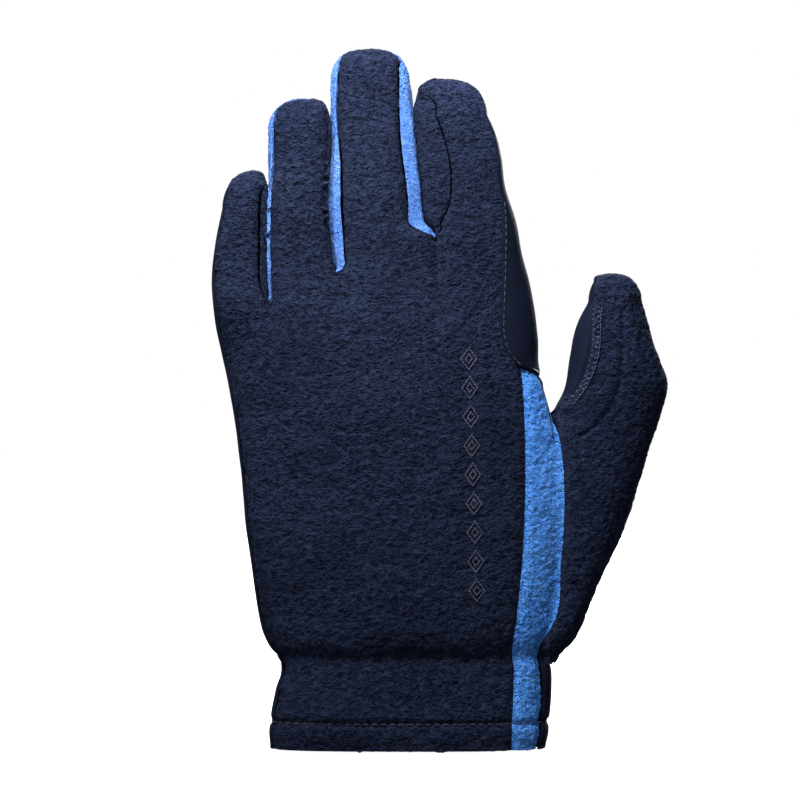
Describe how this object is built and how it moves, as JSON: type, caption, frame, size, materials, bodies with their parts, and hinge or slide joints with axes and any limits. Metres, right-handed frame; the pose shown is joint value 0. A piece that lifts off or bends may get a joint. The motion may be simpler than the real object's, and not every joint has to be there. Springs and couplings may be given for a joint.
{
  "type": "fleece riding glove",
  "caption": "Left-hand winter riding glove in pile fleece with a smooth palm, contrasting side strips and an elasticated wrist; its fingers and thumb bend.",
  "frame": {"origin": "centre of the wrist opening, in the plane of the hem", "axes": "+X to the thumb side, +Y to the palm side, +Z to the fingertips"},
  "size_m": [0.1599, 0.031, 0.2458],
  "materials": {
    "navy_fleece": "matte pile",
    "blue_fleece": "matte pile",
    "palm_fabric": "soft suede-like knit",
    "thread": "satin embroidery thread",
    "elastic": "knitted elastic",
    "binding": "satin tape",
    "label": "woven tape"
  },
  "bodies": {
    "hand": {"back_panel": "navy_fleece", "palm_panel": "palm_fabric", "side_stripe": "blue_fleece", "little_side_strip": "palm_fabric", "stripe_binding": "binding", "embroidered_motif": "thread", "hem_stitching": "thread", "hem_turnup": "navy_fleece", "wrist_elastic": "elastic", "care_label": "label", "knuckle_crease": "palm_fabric", "thumb_crease": "palm_fabric"},
    "knuckles": {"knuckle_back": "navy_fleece", "knuckle_palm": "palm_fabric", "knuckle_side_strip": "palm_fabric", "index_wrap": "palm_fabric", "index_topstitch": "thread", "little_inner_strip": "navy_fleece", "ring_blue_strip": "blue_fleece", "ring_inner_strip": "navy_fleece", "middle_blue_strip_left": "blue_fleece", "middle_blue_strip_right": "blue_fleece", "index_inner_strip": "navy_fleece", "little_crease": "palm_fabric", "ring_crease": "palm_fabric", "middle_crease": "palm_fabric", "index_crease": "palm_fabric"},
    "thumb": {"thumb_back": "navy_fleece", "thumb_palm": "palm_fabric", "thumb_patch": "palm_fabric", "thumb_seam_ridge": "thread", "thumb_tip_crease": "palm_fabric"},
    "thumb_tip": {"thumb_tip_back": "navy_fleece", "thumb_tip_palm": "palm_fabric", "thumb_tip_patch": "palm_fabric"},
    "little_tip": {"little_tip_back": "navy_fleece", "little_tip_palm": "palm_fabric", "little_inner_tip_strip": "navy_fleece", "little_tip_side_strip": "palm_fabric"},
    "ring_tip": {"ring_tip_back": "navy_fleece", "ring_tip_palm": "palm_fabric", "ring_blue_tip_strip": "blue_fleece", "ring_inner_tip_strip": "navy_fleece"},
    "middle_tip": {"middle_tip_back": "navy_fleece", "middle_tip_palm": "palm_fabric", "middle_blue_tip_strip_left": "blue_fleece", "middle_blue_tip_strip_right": "blue_fleece"},
    "index_tip": {"index_tip_back": "navy_fleece", "index_tip_palm": "palm_fabric", "index_inner_tip_strip": "navy_fleece", "index_tip_wrap": "palm_fabric"}
  },
  "joints": [
    {"name": "knuckle_bend", "type": "hinge", "parent": "hand", "child": "knuckles", "pos_m": [0, 0.0045, 0.145], "axis": [-1, 0, 0], "range_deg": [-15, 75], "stiffness_Nm_per_rad": 0.08, "deforming": ["knuckle_crease"]},
    {"name": "index_bend", "type": "hinge", "parent": "knuckles", "child": "index_tip", "pos_m": [0.00424, 0.0036, 0.203], "axis": [-0.994, 0, -0.1097], "range_deg": [-6, 90], "stiffness_Nm_per_rad": 0.02, "deforming": ["index_crease"]},
    {"name": "middle_bend", "type": "hinge", "parent": "knuckles", "child": "middle_tip", "pos_m": [-0.027, 0.0036, 0.197], "axis": [-1, 0, 0], "range_deg": [-6, 90], "stiffness_Nm_per_rad": 0.02, "deforming": ["middle_crease"]},
    {"name": "ring_bend", "type": "hinge", "parent": "knuckles", "child": "ring_tip", "pos_m": [-0.027, 0.0036, 0.19], "axis": [-1, 0, 0], "range_deg": [-6, 90], "stiffness_Nm_per_rad": 0.02, "deforming": ["ring_crease"]},
    {"name": "little_bend", "type": "hinge", "parent": "knuckles", "child": "little_tip", "pos_m": [-0.049, 0.0036, 0.179], "axis": [-1, 0, 0], "range_deg": [-6, 90], "stiffness_Nm_per_rad": 0.02, "deforming": ["little_crease"]},
    {"name": "thumb_fold", "type": "hinge", "parent": "hand", "child": "thumb", "pos_m": [0.0543, 0.00485, 0.077], "axis": [0, 0, 1], "range_deg": [-15, 45], "stiffness_Nm_per_rad": 0.04, "deforming": ["thumb_crease"]},
    {"name": "thumb_tip_bend", "type": "hinge", "parent": "thumb", "child": "thumb_tip", "pos_m": [0.0728, 0.00485, 0.138], "axis": [-1, 0, 0], "range_deg": [-8, 50], "stiffness_Nm_per_rad": 0.02, "deforming": ["thumb_tip_crease"]}
  ]
}
